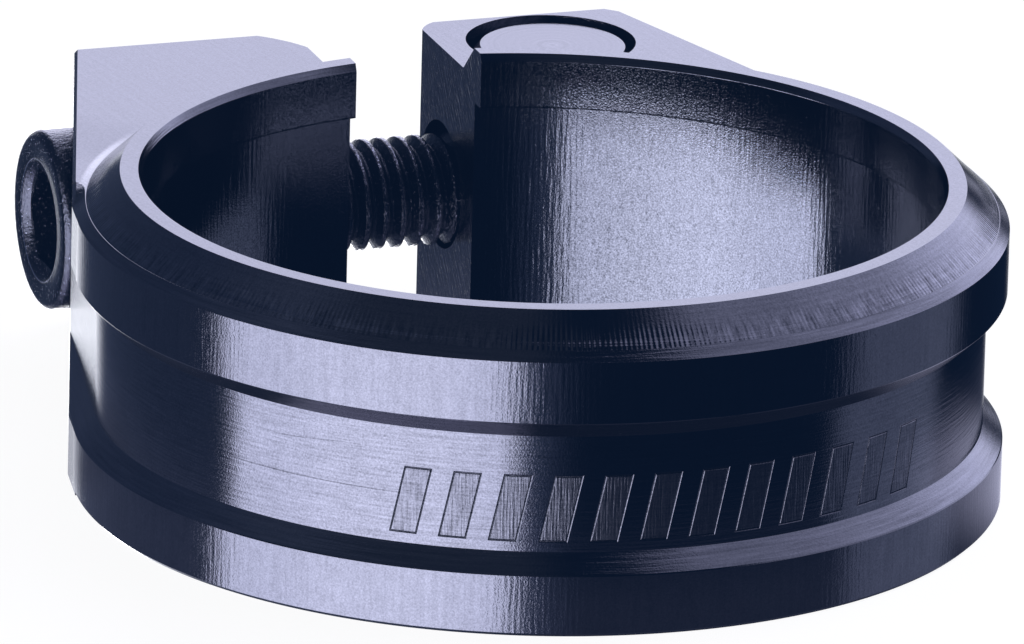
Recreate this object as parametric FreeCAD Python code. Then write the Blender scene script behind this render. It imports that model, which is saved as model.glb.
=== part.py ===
# Seatpost clamp: a split ring with two lugs that one M5 bolt draws together round a seat tube.
# Millimetres. The origin is on the ring's axis in its bottom face. +Z runs up the seatpost, +X runs along
# the bolt away from its head, and +Y points to the lugs and the split.

import FreeCAD, Part
import math
import os
from FreeCAD import Vector

# Ring, as it is turned
OUTER_R = 19.5
RING_H = 13.5
TUBE_R = 17.45
LIP_R = 16.73
LIP_BOTTOM = 11.1
LIP_CHAMFER_R = 0.17
LIP_CHAMFER_H = 0.33
BORE_CHAMFER = 0.3
RIM_CHAMFER = 0.15

# Cone on top of the ring, and the fine ledge where it meets the band's own chamfer
CROWN_R = 17.67
SHOULDER_H = 12.2
LEDGE_W = 0.08
BAND_CHAMFER_W = 0.42
BAND_CHAMFER_H = 0.39

# Groove round the outside
GROOVE_R = 18.65
GROOVE_LOW = 3.39
GROOVE_HIGH = 8.37
GROOVE_WALL_LOW = 0.76
GROOVE_WALL_HIGH = 0.81
RUN_OUT_LEAN = 11.6
RUN_OUT_LENGTH = 14.0
GROOVE_CUT_REACH = 3.0

# Lugs: each flank is a plane tangent to a circle round the ring's axis, leaning in towards the back
LUG_H = SHOULDER_H
LUG_BACK = 25.35
HEAD_FLANK_LEAN = 17.4
HEAD_FLANK_R = 19.63
NUT_FLANK_LEAN = 17.0
NUT_FLANK_R = GROOVE_R
SPLIT_W = 5.6
NUT_LUG_CORNER = 0.5

# The head's flank stands a little proud of the ring and runs into it at a nose; its top edge is bevelled,
# and the bevel widens towards the ring's own chamfer
NOSE_TURN = 8.0
FLANK_BEVEL = 0.14
NOSE_BEVEL = 0.42
NOSE_BEVEL_LENGTH = 2.2

# Eased back corners of the split: width along the back, height along the split, bulge past a plain bevel
HEAD_EASE_X = 1.6
HEAD_EASE_Y = 2.1
HEAD_EASE_BULGE = 0.15
NUT_EASE_X = 0.8
NUT_EASE_Y = 0.9
NUT_EASE_BULGE = 0.1

# Bolt
BOLT_Y = 21.55
BOLT_Z = 5.92
BOLT_R = 2.45
HEAD_R = 3.88
HEAD_H = 5.0
HEAD_FACE_X = -15.4
HEAD_ROUND = 1.05
HEAD_UNDER_BEVEL = 0.2
HEX_ACROSS = 4.0
HEX_DEPTH = 2.7
SOCKET_RIM_R = 2.6
BOLT_LENGTH = 20.0
TIP_CHAMFER = 0.5
NECK_R = 2.1
NECK_L = 0.9
SEAT_GAP = 0.06

# Drilled holes for the bolt, at mid-height of the lugs; the bolt hangs a little low in them
DRILL_Z = LUG_H / 2
CLEARANCE_R = 2.8
POCKET_R = 4.2

# Barrel nut, drawn a little off the middle of its hole, which leaves a thin wall at the lug's back
NUT_X = 7.76
NUT_R = 3.52
NUT_HOLE_X = 7.68
NUT_HOLE_Y = 21.58
NUT_HOLE_R = 3.67
NUT_CHAMFER = 0.39
NUT_RECESS = 0.2
NUT_THREAD_R = 2.5

BEARING_X = HEAD_FACE_X + HEAD_H


def turned(points):
    """Solid of revolution round Z from (radius, height) corners."""
    corners = [Vector(r, 0, z) for r, z in points]
    face = Part.Face(Part.makePolygon(corners + corners[:1]))
    return face.revolve(Vector(0, 0, 0), Vector(0, 0, 1), 360)


def rod_x(radius, x_start, x_end, z):
    """Cylinder along X at the bolt's depth and a given height."""
    return Part.makeCylinder(radius, x_end - x_start, Vector(x_start, BOLT_Y, z), Vector(1, 0, 0))


def ring_blank():
    """The ring's outer form, still solid inside and without its groove."""
    shoulder_r = OUTER_R - BAND_CHAMFER_W
    return turned([
        (0, 0),
        (OUTER_R - RIM_CHAMFER, 0),
        (OUTER_R, RIM_CHAMFER),
        (OUTER_R, SHOULDER_H - BAND_CHAMFER_H),
        (shoulder_r, SHOULDER_H),
        (shoulder_r - LEDGE_W, SHOULDER_H),
        (CROWN_R, RING_H),
        (0, RING_H),
    ])


def bore():
    """The seat tube's bore, with the seatpost's lip above it, as a cutting solid."""
    return turned([
        (0, 0),
        (TUBE_R + BORE_CHAMFER, 0),
        (TUBE_R, BORE_CHAMFER),
        (TUBE_R, LIP_BOTTOM),
        (LIP_R, LIP_BOTTOM),
        (LIP_R, RING_H - LIP_CHAMFER_H),
        (LIP_R + LIP_CHAMFER_R, RING_H),
        (0, RING_H),
    ])


def flank(side, lean, radius, y):
    """X of a lug's flank at depth y; side is -1 for the head's lug and 1 for the nut's."""
    angle = math.radians(lean)
    return side * (radius - y * math.sin(angle)) / math.cos(angle)


def tangent_point(side, lean, radius):
    """Where a flank touches its circle."""
    angle = math.radians(lean)
    return side * radius * math.cos(angle), radius * math.sin(angle)


def lugs_outline():
    """Plan of both lugs in one piece, before the split."""
    left_x, left_y = tangent_point(-1, HEAD_FLANK_LEAN, HEAD_FLANK_R)
    right_x, right_y = tangent_point(1, NUT_FLANK_LEAN, NUT_FLANK_R)
    head_corner = flank(-1, HEAD_FLANK_LEAN, HEAD_FLANK_R, LUG_BACK)
    nut_corner_y = LUG_BACK - NUT_LUG_CORNER
    nut_corner = flank(1, NUT_FLANK_LEAN, NUT_FLANK_R, nut_corner_y)
    nose_x, nose_y = tangent_point(-1, HEAD_FLANK_LEAN - NOSE_TURN, OUTER_R)
    return [
        (0, 0),
        (right_x, right_y),
        (nut_corner, nut_corner_y),
        (nut_corner - NUT_LUG_CORNER, LUG_BACK),
        (head_corner, LUG_BACK),
        (left_x, left_y),
        (nose_x, nose_y),
    ]


def edge_bevel(start, end, outwards, start_size, end_size):
    """Wedge that bevels the straight top edge of a wall, from one size to another."""
    faces = []
    for point, size in ((start, start_size), (end, end_size)):
        inside = point - outwards * size
        below = point - Vector(0, 0, size)
        past = outwards * size
        above = Vector(0, 0, size)
        corners = [inside - past + above, below + past - above, point + past + above]
        faces.append(Part.makePolygon(corners + corners[:1]))
    return Part.makeLoft(faces, True, True)


def lugs_blank():
    corners = [Vector(x, y, 0) for x, y in lugs_outline()]
    face = Part.Face(Part.makePolygon(corners + corners[:1]))
    blank = face.extrude(Vector(0, 0, LUG_H))
    lean = math.radians(HEAD_FLANK_LEAN)
    outwards = Vector(-math.cos(lean), math.sin(lean), 0)
    backwards = Vector(math.sin(lean), math.cos(lean), 0)
    top = Vector(0, 0, LUG_H)
    tangent = outwards * HEAD_FLANK_R + top
    narrow = tangent + backwards * NOSE_BEVEL_LENGTH
    behind = tangent + backwards * 2 * RUN_OUT_LENGTH
    ahead = tangent - backwards * NOSE_BEVEL_LENGTH
    ahead_size = 2 * NOSE_BEVEL - FLANK_BEVEL
    blank = blank.cut(edge_bevel(narrow, behind, outwards, FLANK_BEVEL, FLANK_BEVEL))
    return blank.cut(edge_bevel(ahead, narrow, outwards, ahead_size, FLANK_BEVEL))


def groove_profile():
    """Section of the groove cutter, standing on the groove's floor: (outwards, height) corners."""
    reach = OUTER_R - GROOVE_R
    beyond = GROOVE_CUT_REACH
    low_slope = GROOVE_WALL_LOW / reach
    high_slope = GROOVE_WALL_HIGH / reach
    return [
        (0, GROOVE_LOW),
        (beyond, GROOVE_LOW - low_slope * beyond),
        (beyond, GROOVE_HIGH + high_slope * beyond),
        (0, GROOVE_HIGH),
    ]


def groove_section(angle):
    """The cutter's face standing at an angle round the ring."""
    out = Vector(math.cos(angle), math.sin(angle), 0)
    corners = [out * (GROOVE_R + reach) + Vector(0, 0, z) for reach, z in groove_profile()]
    return Part.Face(Part.makePolygon(corners + corners[:1]))


def groove_cutter():
    """Round the front of the ring, then straight off it along each lug until it runs out of metal."""
    start = math.pi - math.radians(RUN_OUT_LEAN)
    end = 2 * math.pi + math.radians(NUT_FLANK_LEAN)
    sweep = math.degrees(end - start)
    round_part = groove_section(start).revolve(Vector(0, 0, 0), Vector(0, 0, 1), sweep)
    backwards_left = Vector(math.sin(start), -math.cos(start), 0)
    backwards_right = Vector(-math.sin(end), math.cos(end), 0)
    left_part = groove_section(start).extrude(backwards_left * RUN_OUT_LENGTH)
    right_part = groove_section(end).extrude(backwards_right * RUN_OUT_LENGTH)
    return [round_part, left_part, right_part]


def eased_corner(side, along_x, along_y, bulge):
    """Arc from a lug's split face to its back face, and the arc's two ends."""
    on_split = Vector(side * SPLIT_W / 2, LUG_BACK - along_y, 0)
    on_back = Vector(side * (SPLIT_W / 2 + along_x), LUG_BACK, 0)
    outwards = Vector(-side * along_y, along_x, 0).normalize()
    middle = (on_split + on_back) * 0.5 + outwards * bulge
    return Part.Arc(on_split, middle, on_back).toShape(), on_split, on_back


def split():
    """The slot between the lugs and through the ring, with its two back corners eased."""
    head_arc, head_split, head_back = eased_corner(-1, HEAD_EASE_X, HEAD_EASE_Y, HEAD_EASE_BULGE)
    nut_arc, nut_split, nut_back = eased_corner(1, NUT_EASE_X, NUT_EASE_Y, NUT_EASE_BULGE)
    into_ring = Vector(0, LIP_R / 2, 0)
    behind = Vector(0, 1, 0)
    head_front = Vector(head_split.x, into_ring.y, 0)
    nut_front = Vector(nut_split.x, into_ring.y, 0)
    edges = [
        Part.makeLine(head_front, head_split),
        head_arc,
        Part.makeLine(head_back, head_back + behind),
        Part.makeLine(head_back + behind, nut_back + behind),
        Part.makeLine(nut_back + behind, nut_back),
        nut_arc,
        Part.makeLine(nut_split, nut_front),
        Part.makeLine(nut_front, head_front),
    ]
    return Part.Face(Part.Wire(edges)).extrude(Vector(0, 0, RING_H))


def clamp_body():
    body = ring_blank().fuse(lugs_blank())
    body = body.cut(bore())
    body = body.cut(groove_cutter())
    body = body.cut(split())
    pocket = rod_x(POCKET_R, BEARING_X - BOLT_LENGTH, BEARING_X, DRILL_Z)
    bolt_hole = rod_x(CLEARANCE_R, BEARING_X - HEAD_H, NUT_HOLE_X, DRILL_Z)
    nut_hole = Part.makeCylinder(NUT_HOLE_R, RING_H, Vector(NUT_HOLE_X, NUT_HOLE_Y, 0))
    body = body.cut([pocket, bolt_hole, nut_hole])
    return body.removeSplitter()


def hex_socket():
    """Cutting solid for the hexagonal socket, with a tapered floor from the drill."""
    corner_r = HEX_ACROSS / math.sqrt(3)
    corners = []
    for step in range(7):
        angle = math.radians(60 * step)
        y = BOLT_Y + corner_r * math.cos(angle)
        z = BOLT_Z + corner_r * math.sin(angle)
        corners.append(Vector(HEAD_FACE_X, y, z))
    hexagon = Part.Face(Part.makePolygon(corners)).extrude(Vector(HEX_DEPTH, 0, 0))
    drill_cone = Part.makeCone(
        HEX_ACROSS / 2, 0, HEX_ACROSS / 4,
        Vector(HEAD_FACE_X + HEX_DEPTH, BOLT_Y, BOLT_Z), Vector(1, 0, 0))
    return hexagon.fuse(drill_cone)


def clamp_bolt():
    """M5 bolt: domed head, hexagonal socket with a bevelled mouth, short neck and shank."""
    start = HEAD_FACE_X
    end = BEARING_X + BOLT_LENGTH
    bow = math.sqrt(0.5)
    dome_mid = Vector(start + HEAD_ROUND * (1 - bow), HEAD_R - HEAD_ROUND * (1 - bow), 0)
    rim_bevel = SOCKET_RIM_R - HEX_ACROSS / math.sqrt(3)
    points = [
        Vector(start + HEAD_ROUND, HEAD_R, 0),
        Vector(BEARING_X - HEAD_UNDER_BEVEL, HEAD_R, 0),
        Vector(BEARING_X, HEAD_R - HEAD_UNDER_BEVEL, 0),
        Vector(BEARING_X, NECK_R, 0),
        Vector(BEARING_X + NECK_L, NECK_R, 0),
        Vector(BEARING_X + NECK_L + BOLT_R - NECK_R, BOLT_R, 0),
        Vector(end - TIP_CHAMFER, BOLT_R, 0),
        Vector(end, BOLT_R - TIP_CHAMFER, 0),
        Vector(end, 0, 0),
        Vector(start + rim_bevel, 0, 0),
        Vector(start + rim_bevel, SOCKET_RIM_R - rim_bevel, 0),
        Vector(start, SOCKET_RIM_R, 0),
        Vector(start, HEAD_R - HEAD_ROUND, 0),
    ]
    edges = [Part.makeLine(a, b) for a, b in zip(points, points[1:])]
    edges.append(Part.Arc(points[-1], dome_mid, points[0]).toShape())
    bolt = Part.Face(Part.Wire(edges)).revolve(Vector(0, 0, 0), Vector(1, 0, 0), 360)
    bolt.translate(Vector(0, BOLT_Y, BOLT_Z))
    bolt = bolt.cut(hex_socket())
    bolt.translate(Vector(-SEAT_GAP, 0, 0))
    return bolt


def barrel_nut():
    """Upright cylinder with a threaded cross hole for the bolt."""
    height = LUG_H - 2 * NUT_RECESS
    nut = Part.makeCylinder(NUT_R, height, Vector(NUT_X, BOLT_Y, NUT_RECESS))
    rims = [edge for edge in nut.Edges if edge.BoundBox.ZLength < NUT_CHAMFER]
    nut = nut.makeChamfer(NUT_CHAMFER, rims)
    return nut.cut(rod_x(NUT_THREAD_R, NUT_X - 2 * NUT_R, NUT_X + 2 * NUT_R, BOLT_Z))


os.makedirs("parts", exist_ok=True)
for name, shape in (
    ("clamp_body", clamp_body()),
    ("clamp_bolt", clamp_bolt()),
    ("barrel_nut", barrel_nut()),
):
    shape.exportStep("parts/" + name + ".step")
    print(name, len(shape.Solids), "solid", round(shape.Volume, 1), "mm3", "valid", shape.isValid())
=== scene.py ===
# Looks of the seatpost clamp: camera, studio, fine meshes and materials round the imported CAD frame.
# Lengths are in millimetres unless a name says otherwise; meshes are scaled to metres when they are made.
import bpy
import bmesh
import math
from mathutils import Matrix, Vector


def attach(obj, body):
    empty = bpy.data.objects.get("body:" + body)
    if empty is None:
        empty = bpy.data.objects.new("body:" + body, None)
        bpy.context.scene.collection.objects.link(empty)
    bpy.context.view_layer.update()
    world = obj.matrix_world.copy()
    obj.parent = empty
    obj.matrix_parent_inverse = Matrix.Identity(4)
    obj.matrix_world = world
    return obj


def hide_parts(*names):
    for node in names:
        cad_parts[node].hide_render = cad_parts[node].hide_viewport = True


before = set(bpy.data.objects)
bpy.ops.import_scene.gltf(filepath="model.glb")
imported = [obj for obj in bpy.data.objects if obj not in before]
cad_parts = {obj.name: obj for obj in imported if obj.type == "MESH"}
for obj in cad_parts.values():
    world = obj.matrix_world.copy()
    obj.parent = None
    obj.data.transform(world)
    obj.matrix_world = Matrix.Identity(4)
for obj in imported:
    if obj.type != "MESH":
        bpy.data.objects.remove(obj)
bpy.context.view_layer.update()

MM = 0.001
UP = Vector((0, 0, 1))
ACROSS = Vector((1, 0, 0))

# Camera
VIEW_TURN = math.radians(19.1)
VIEW_TILT = math.radians(18.4587)
VIEW_ROLL = math.radians(1.4603)
VIEW_DISTANCE = 663.86
VIEW_TARGET = Vector((-1.099, 0.381, 7.019))
LENS_MM = 558.09
SENSOR_MM = 36.0


def from_view(x, y, z):
    """A vector given square to the camera's bearing, in the part's own frame."""
    c, s = math.cos(VIEW_TURN), math.sin(VIEW_TURN)
    return Vector((x * c + y * s, -x * s + y * c, z))


def add_camera():
    back = from_view(0, -math.cos(VIEW_TILT), math.sin(VIEW_TILT))
    right = from_view(1, 0, 0)
    up = back.cross(right)
    c, s = math.cos(VIEW_ROLL), math.sin(VIEW_ROLL)
    axes = Matrix((c * right + s * up, c * up - s * right, back)).transposed().to_4x4()
    camera = bpy.data.cameras.new("camera")
    camera.sensor_fit = "HORIZONTAL"
    camera.sensor_width = SENSOR_MM
    camera.lens = LENS_MM
    camera.clip_start = 0.01
    camera.clip_end = 10.0
    holder = bpy.data.objects.new("camera", camera)
    bpy.context.collection.objects.link(holder)
    holder.matrix_world = Matrix.Translation((VIEW_TARGET + back * VIEW_DISTANCE) * MM) @ axes
    bpy.context.scene.camera = holder


add_camera()

# Dimensions, as in the part's source
OUTER_R = 19.5
RING_H = 13.5
TUBE_R = 17.45
LIP_R = 16.73
LIP_BOTTOM = 11.1
LIP_CHAMFER_R = 0.17
LIP_CHAMFER_H = 0.33
BORE_CHAMFER = 0.3
RIM_CHAMFER = 0.15
CROWN_R = 17.67
SHOULDER_H = 12.2
BAND_CHAMFER_W = 0.42
BAND_CHAMFER_H = 0.39
GROOVE_R = 18.65
GROOVE_LOW = 3.39
GROOVE_HIGH = 8.37
GROOVE_WALL_LOW = 0.76
GROOVE_WALL_HIGH = 0.81
RUN_OUT_LEAN = 11.6
RUN_OUT_LENGTH = 14.0
GROOVE_CUT_REACH = 3.0
LUG_BACK = 25.35
HEAD_FLANK_LEAN = 17.4
HEAD_FLANK_R = 19.63
NOSE_TURN = 8.0
FLANK_BEVEL = 0.14
NOSE_BEVEL = 0.42
NOSE_BEVEL_LENGTH = 2.2
NUT_FLANK_LEAN = 17.0
SPLIT_W = 5.6
NUT_LUG_CORNER = 0.5
HEAD_EASE = (1.6, 2.1, 0.15)
NUT_EASE = (0.8, 0.9, 0.1)
BOLT_Y = 21.55
BOLT_Z = 5.92
HEAD_R = 3.88
HEAD_H = 5.0
HEAD_FACE_X = -15.4
HEAD_UNDER_BEVEL = 0.2
HEX_ACROSS = 4.0
HEX_DEPTH = 2.7
BOLT_LENGTH = 20.0
TIP_CHAMFER = 0.5
NECK_R = 2.1
NECK_L = 0.9
HEAD_CLEARANCE = 0.06
DRILL_Z = 6.1
CLEARANCE_R = 2.8
POCKET_R = 4.2
NUT_X = 7.76
NUT_R = 3.52
NUT_HOLE_X = 7.68
NUT_HOLE_Y = 21.58
NUT_HOLE_R = 3.67
NUT_CHAMFER = 0.39
NUT_RECESS = 0.2
NUT_THREAD_R = 2.5
BEARING_X = HEAD_FACE_X + HEAD_H

# Fine mesh: steps round the axes, and forms that are finer here than in the part's source
RING_STEPS = 1800
ROD_STEPS = 160
THREAD_STEPS = 96
DOME_STEPS = 16
EASE_STEPS = 14
LUG_ARC_STEPS = 60
NOSE_STEPS = 40
CUT_OVERSHOOT = 1.0
WELD = 1e-4
TINY = 1e-6
EDGE_BEVEL = 0.035
LEDGE_LINE_W = 0.02
FACE_SET_BACK = 0.17
HEAD_ROUND = 0.4
SOCKET_RIM_R = 2.65
HEX_EASE = 0.12
BOLT_SMOOTH_ANGLE = 30

# Thread: one ridge, as (share of the pitch, height over the root) pairs; it rises out of the neck
THREAD_CREST_R = 2.4
THREAD_ROOT_R = 2.0
THREAD_PITCH = 0.8
THREAD_RIDGE = (
    (0.0, 0.0),
    (0.06, 0.01),
    (0.36, 0.38),
    (0.44, 0.4),
    (0.56, 0.4),
    (0.64, 0.38),
    (0.94, 0.01),
)
THREAD_RISE = 0.8
THREAD_NECK_PLAY = 0.05

# Cut that carries the ring's chamfer round the left lug's nose: bearings from the ring's left side where it
# starts, begins to fade and ends, how far it starts inside the chamfer's foot, how far it reaches past the
# ring, and its height over the lug once it has faded
NOSE_START = 2.0
NOSE_FADE = 15.0
NOSE_END = 25.0
NOSE_INSIDE = 0.05
NOSE_REACH = 1.1
NOSE_CLEAR = 0.03


# Mesh helpers
def new_object(name, points, faces):
    mesh = bpy.data.meshes.new(name)
    mesh.from_pydata([tuple(p) for p in points], [], faces)
    mesh.validate()
    mesh.update()
    made = bpy.data.objects.new(name, mesh)
    bpy.context.collection.objects.link(made)
    return made


def turned(name, points, steps, axis="Z", at=(0.0, 0.0, 0.0)):
    """Solid of revolution of a closed (radius, along) profile; a radius of zero is one point on the axis."""
    verts = []
    rows = []
    for r, h in points:
        if r < TINY:
            rows.append([len(verts)] * steps)
            verts.append((0.0, 0.0, h))
            continue
        rows.append(list(range(len(verts), len(verts) + steps)))
        for i in range(steps):
            a = 2 * math.pi * i / steps
            verts.append((r * math.cos(a), r * math.sin(a), h))
    faces = []
    for k in range(len(rows)):
        low, high = rows[k - 1], rows[k]
        if low[0] == low[1] and high[0] == high[1]:
            continue
        for i in range(steps):
            j = (i + 1) % steps
            loop = []
            for v in (low[i], low[j], high[j], high[i]):
                if v not in loop:
                    loop.append(v)
            faces.append(loop)
    if axis == "X":
        verts = [(z, x, y) for x, y, z in verts]
    verts = [(x + at[0], y + at[1], z + at[2]) for x, y, z in verts]
    made = new_object(name, verts, faces)
    outward(made)
    return made


def outward(made):
    """Normals of a closed mesh made to point out."""
    work = bmesh.new()
    work.from_mesh(made.data)
    bmesh.ops.recalc_face_normals(work, faces=work.faces)
    work.to_mesh(made.data)
    work.free()


def lofted(name, sections):
    """Closed solid through sections that all have the same number of points."""
    count = len(sections[0])
    verts = [point for section in sections for point in section]
    faces = [list(range(count)), [v + count * (len(sections) - 1) for v in range(count)]]
    for k in range(len(sections) - 1):
        base = k * count
        for i in range(count):
            j = (i + 1) % count
            faces.append([base + i, base + j, base + count + j, base + count + i])
    made = new_object(name, verts, faces)
    outward(made)
    return made


def prism(name, outline, low, high):
    return lofted(name, [[(x, y, z) for x, y in outline] for z in (low, high)])


def combine(made, other, operation):
    """Boolean of two closed meshes; the second is used up."""
    step = made.modifiers.new("combine", "BOOLEAN")
    step.operation = operation
    step.solver = "EXACT"
    step.object = other
    graph = bpy.context.evaluated_depsgraph_get()
    result = bpy.data.meshes.new_from_object(made.evaluated_get(graph))
    made.modifiers.clear()
    old = made.data
    made.data = result
    bpy.data.meshes.remove(old)
    used = other.data
    bpy.data.objects.remove(other)
    bpy.data.meshes.remove(used)


def weld(made):
    """Joins points that coincide and takes out what that leaves without area."""
    work = bmesh.new()
    work.from_mesh(made.data)
    bmesh.ops.remove_doubles(work, verts=work.verts, dist=WELD)
    bmesh.ops.dissolve_degenerate(work, edges=work.edges, dist=WELD)
    work.to_mesh(made.data)
    work.free()


# Clamp body
def ring():
    shoulder_r = OUTER_R - BAND_CHAMFER_W
    profile = [
        (TUBE_R + BORE_CHAMFER, 0),
        (OUTER_R - RIM_CHAMFER, 0),
        (OUTER_R, RIM_CHAMFER),
        (OUTER_R, SHOULDER_H - BAND_CHAMFER_H),
        (shoulder_r, SHOULDER_H),
        (shoulder_r - LEDGE_LINE_W, SHOULDER_H),
        (CROWN_R, RING_H),
        (LIP_R + LIP_CHAMFER_R, RING_H),
        (LIP_R + EDGE_BEVEL / 6, RING_H - LIP_CHAMFER_H + EDGE_BEVEL / 3),
        (LIP_R, RING_H - LIP_CHAMFER_H - EDGE_BEVEL / 6),
        (LIP_R, LIP_BOTTOM),
        (TUBE_R, LIP_BOTTOM),
        (TUBE_R, BORE_CHAMFER),
    ]
    return turned("clamp_body_fine", profile, RING_STEPS)


def polar(radius, angle):
    return (radius * math.cos(angle), radius * math.sin(angle))


def edge_bevel(start, end, outwards, start_size, end_size):
    """Closed wedge that bevels the straight top edge of a wall, from one size to another."""
    sections = []
    for point, size in ((start, start_size), (end, end_size)):
        past = outwards * size
        above = UP * size
        sections.append([point - 2 * past + above, point + past - 2 * above, point + past + above])
    return lofted("bevel", sections)


def lugs():
    """Both lugs as one prism that starts inside the ring's wall; the left one's top edge is bevelled."""
    inner_r = (TUBE_R + GROOVE_R) / 2
    right = math.radians(NUT_FLANK_LEAN)
    left = math.radians(HEAD_FLANK_LEAN)
    nose = math.pi - math.radians(HEAD_FLANK_LEAN - NOSE_TURN)
    nut_y = LUG_BACK - NUT_LUG_CORNER
    nut_x = (GROOVE_R - nut_y * math.sin(right)) / math.cos(right)
    head_x = -(HEAD_FLANK_R - LUG_BACK * math.sin(left)) / math.cos(left)
    outline = [
        polar(GROOVE_R, right),
        (nut_x, nut_y),
        (nut_x - NUT_LUG_CORNER, LUG_BACK),
        (head_x, LUG_BACK),
        polar(HEAD_FLANK_R, math.pi - left),
        polar(OUTER_R, nose),
    ]
    for i in range(LUG_ARC_STEPS + 1):
        outline.append(polar(inner_r, nose + (right - nose) * i / LUG_ARC_STEPS))
    made = prism("lugs", outline, 0, SHOULDER_H)
    outwards = Vector((-math.cos(left), math.sin(left), 0))
    backwards = Vector((math.sin(left), math.cos(left), 0))
    tangent = outwards * HEAD_FLANK_R + Vector((0, 0, SHOULDER_H))
    narrow = tangent + backwards * NOSE_BEVEL_LENGTH
    ahead = tangent - backwards * NOSE_BEVEL_LENGTH
    behind = tangent + backwards * 2 * RUN_OUT_LENGTH
    ahead_size = 2 * NOSE_BEVEL - FLANK_BEVEL
    combine(made, edge_bevel(narrow, behind, outwards, FLANK_BEVEL, FLANK_BEVEL), "DIFFERENCE")
    combine(made, edge_bevel(ahead, narrow, outwards, ahead_size, FLANK_BEVEL), "DIFFERENCE")
    combine(made, nose_cutter(), "DIFFERENCE")
    return made


def groove_cutter():
    """One closed sweep: straight off the left lug, round the front, straight off along the right lug."""
    reach = OUTER_R - GROOVE_R
    low = GROOVE_WALL_LOW / reach
    high = GROOVE_WALL_HIGH / reach
    bevel = EDGE_BEVEL
    section = [
        (0, GROOVE_LOW),
        (reach - bevel, GROOVE_LOW - low * (reach - bevel)),
        (reach + bevel, GROOVE_LOW - low * (reach - bevel) - 3 * bevel),
        (GROOVE_CUT_REACH, GROOVE_LOW - low * GROOVE_CUT_REACH),
        (GROOVE_CUT_REACH, GROOVE_HIGH + high * GROOVE_CUT_REACH),
        (reach + bevel, GROOVE_HIGH + high * (reach - bevel) + 3 * bevel),
        (reach - bevel, GROOVE_HIGH + high * (reach - bevel)),
        (0, GROOVE_HIGH),
    ]
    step = 2 * math.pi / RING_STEPS
    first = round((math.pi - math.radians(RUN_OUT_LEAN)) / step)
    last = round((2 * math.pi + math.radians(NUT_FLANK_LEAN)) / step)
    stations = []
    for i in range(first, last + 1):
        a = i * step
        stations.append((Vector((math.cos(a), math.sin(a), 0)), Vector((0, 0, 0))))
    a, b = first * step, last * step
    stations.insert(0, (stations[0][0], Vector((math.sin(a), -math.cos(a), 0)) * RUN_OUT_LENGTH))
    stations.append((stations[-1][0], Vector((-math.sin(b), math.cos(b), 0)) * RUN_OUT_LENGTH))
    sections = []
    for out, shift in stations:
        sections.append([out * (GROOVE_R + away) + shift + UP * z for away, z in section])
    return lofted("groove", sections)


def nose_cutter():
    """Carries the ring's upper chamfer on round the left lug's nose, where it fades into the lug's top."""
    slope = BAND_CHAMFER_H / BAND_CHAMFER_W
    foot = OUTER_R - BAND_CHAMFER_W
    inner, outer = foot - NOSE_INSIDE, OUTER_R + NOSE_REACH
    sections = []
    for k in range(NOSE_STEPS + 1):
        lean = NOSE_START + (NOSE_END - NOSE_START) * k / NOSE_STEPS
        t = max((lean - NOSE_FADE) / (NOSE_END - NOSE_FADE), 0.0)
        fade = t * t * (3 - 2 * t)
        a = math.pi - math.radians(lean)
        out = Vector((math.cos(a), math.sin(a), 0))
        low = [SHOULDER_H + slope * (foot - r) * (1 - fade) + NOSE_CLEAR * fade for r in (inner, outer)]
        corners = ((inner, RING_H), (inner, low[0]), (outer, low[1]), (outer, RING_H))
        sections.append([out * r + UP * z for r, z in corners])
    return lofted("nose", sections)


def eased(side, ease):
    """Points of the eased corner from the split face to the back face."""
    along_x, along_y, bulge = ease
    a = Vector((side * SPLIT_W / 2, LUG_BACK - along_y))
    b = Vector((side * (SPLIT_W / 2 + along_x), LUG_BACK))
    out = Vector((-side * along_y, along_x)).normalized()
    points = []
    for i in range(EASE_STEPS + 1):
        t = i / EASE_STEPS
        points.append(a.lerp(b, t) + out * bulge * 4 * t * (1 - t))
    return points


def split_cutter():
    behind = Vector((0, CUT_OVERSHOOT))
    left = eased(-1, HEAD_EASE)
    right = eased(1, NUT_EASE)
    outline = [Vector((-SPLIT_W / 2, LIP_R / 2))] + left
    outline += [left[-1] + behind, right[-1] + behind]
    outline += right[::-1] + [Vector((SPLIT_W / 2, LIP_R / 2))]
    return prism("split", [(p.x, p.y) for p in outline], -CUT_OVERSHOOT, RING_H + CUT_OVERSHOOT)


def clamp_body():
    body = ring()
    combine(body, lugs(), "UNION")
    weld(body)
    combine(body, groove_cutter(), "DIFFERENCE")
    combine(body, split_cutter(), "DIFFERENCE")
    drilled = [
        (0, BEARING_X - BOLT_LENGTH),
        (POCKET_R, BEARING_X - BOLT_LENGTH),
        (POCKET_R, BEARING_X),
        (CLEARANCE_R, BEARING_X),
        (CLEARANCE_R, NUT_HOLE_X),
        (0, NUT_HOLE_X),
    ]
    combine(body, turned("drill", drilled, ROD_STEPS, "X", (0, BOLT_Y, DRILL_Z)), "DIFFERENCE")
    hole = [
        (0, -CUT_OVERSHOOT),
        (NUT_HOLE_R, -CUT_OVERSHOOT),
        (NUT_HOLE_R, RING_H + CUT_OVERSHOOT),
        (0, RING_H + CUT_OVERSHOOT),
    ]
    cutter = turned("nut_hole", hole, 2 * ROD_STEPS, "Z", (NUT_HOLE_X, NUT_HOLE_Y, 0))
    combine(body, cutter, "DIFFERENCE")
    weld(body)
    return body


# A face belongs to a turned surface if its normal has almost no share along the tangent and enough along the
# radius, and if the face is narrow for its distance from the axis
MOST_TANGENT = 0.012
LEAST_RADIAL = 0.03
WIDEST_FACE = 0.06


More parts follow.
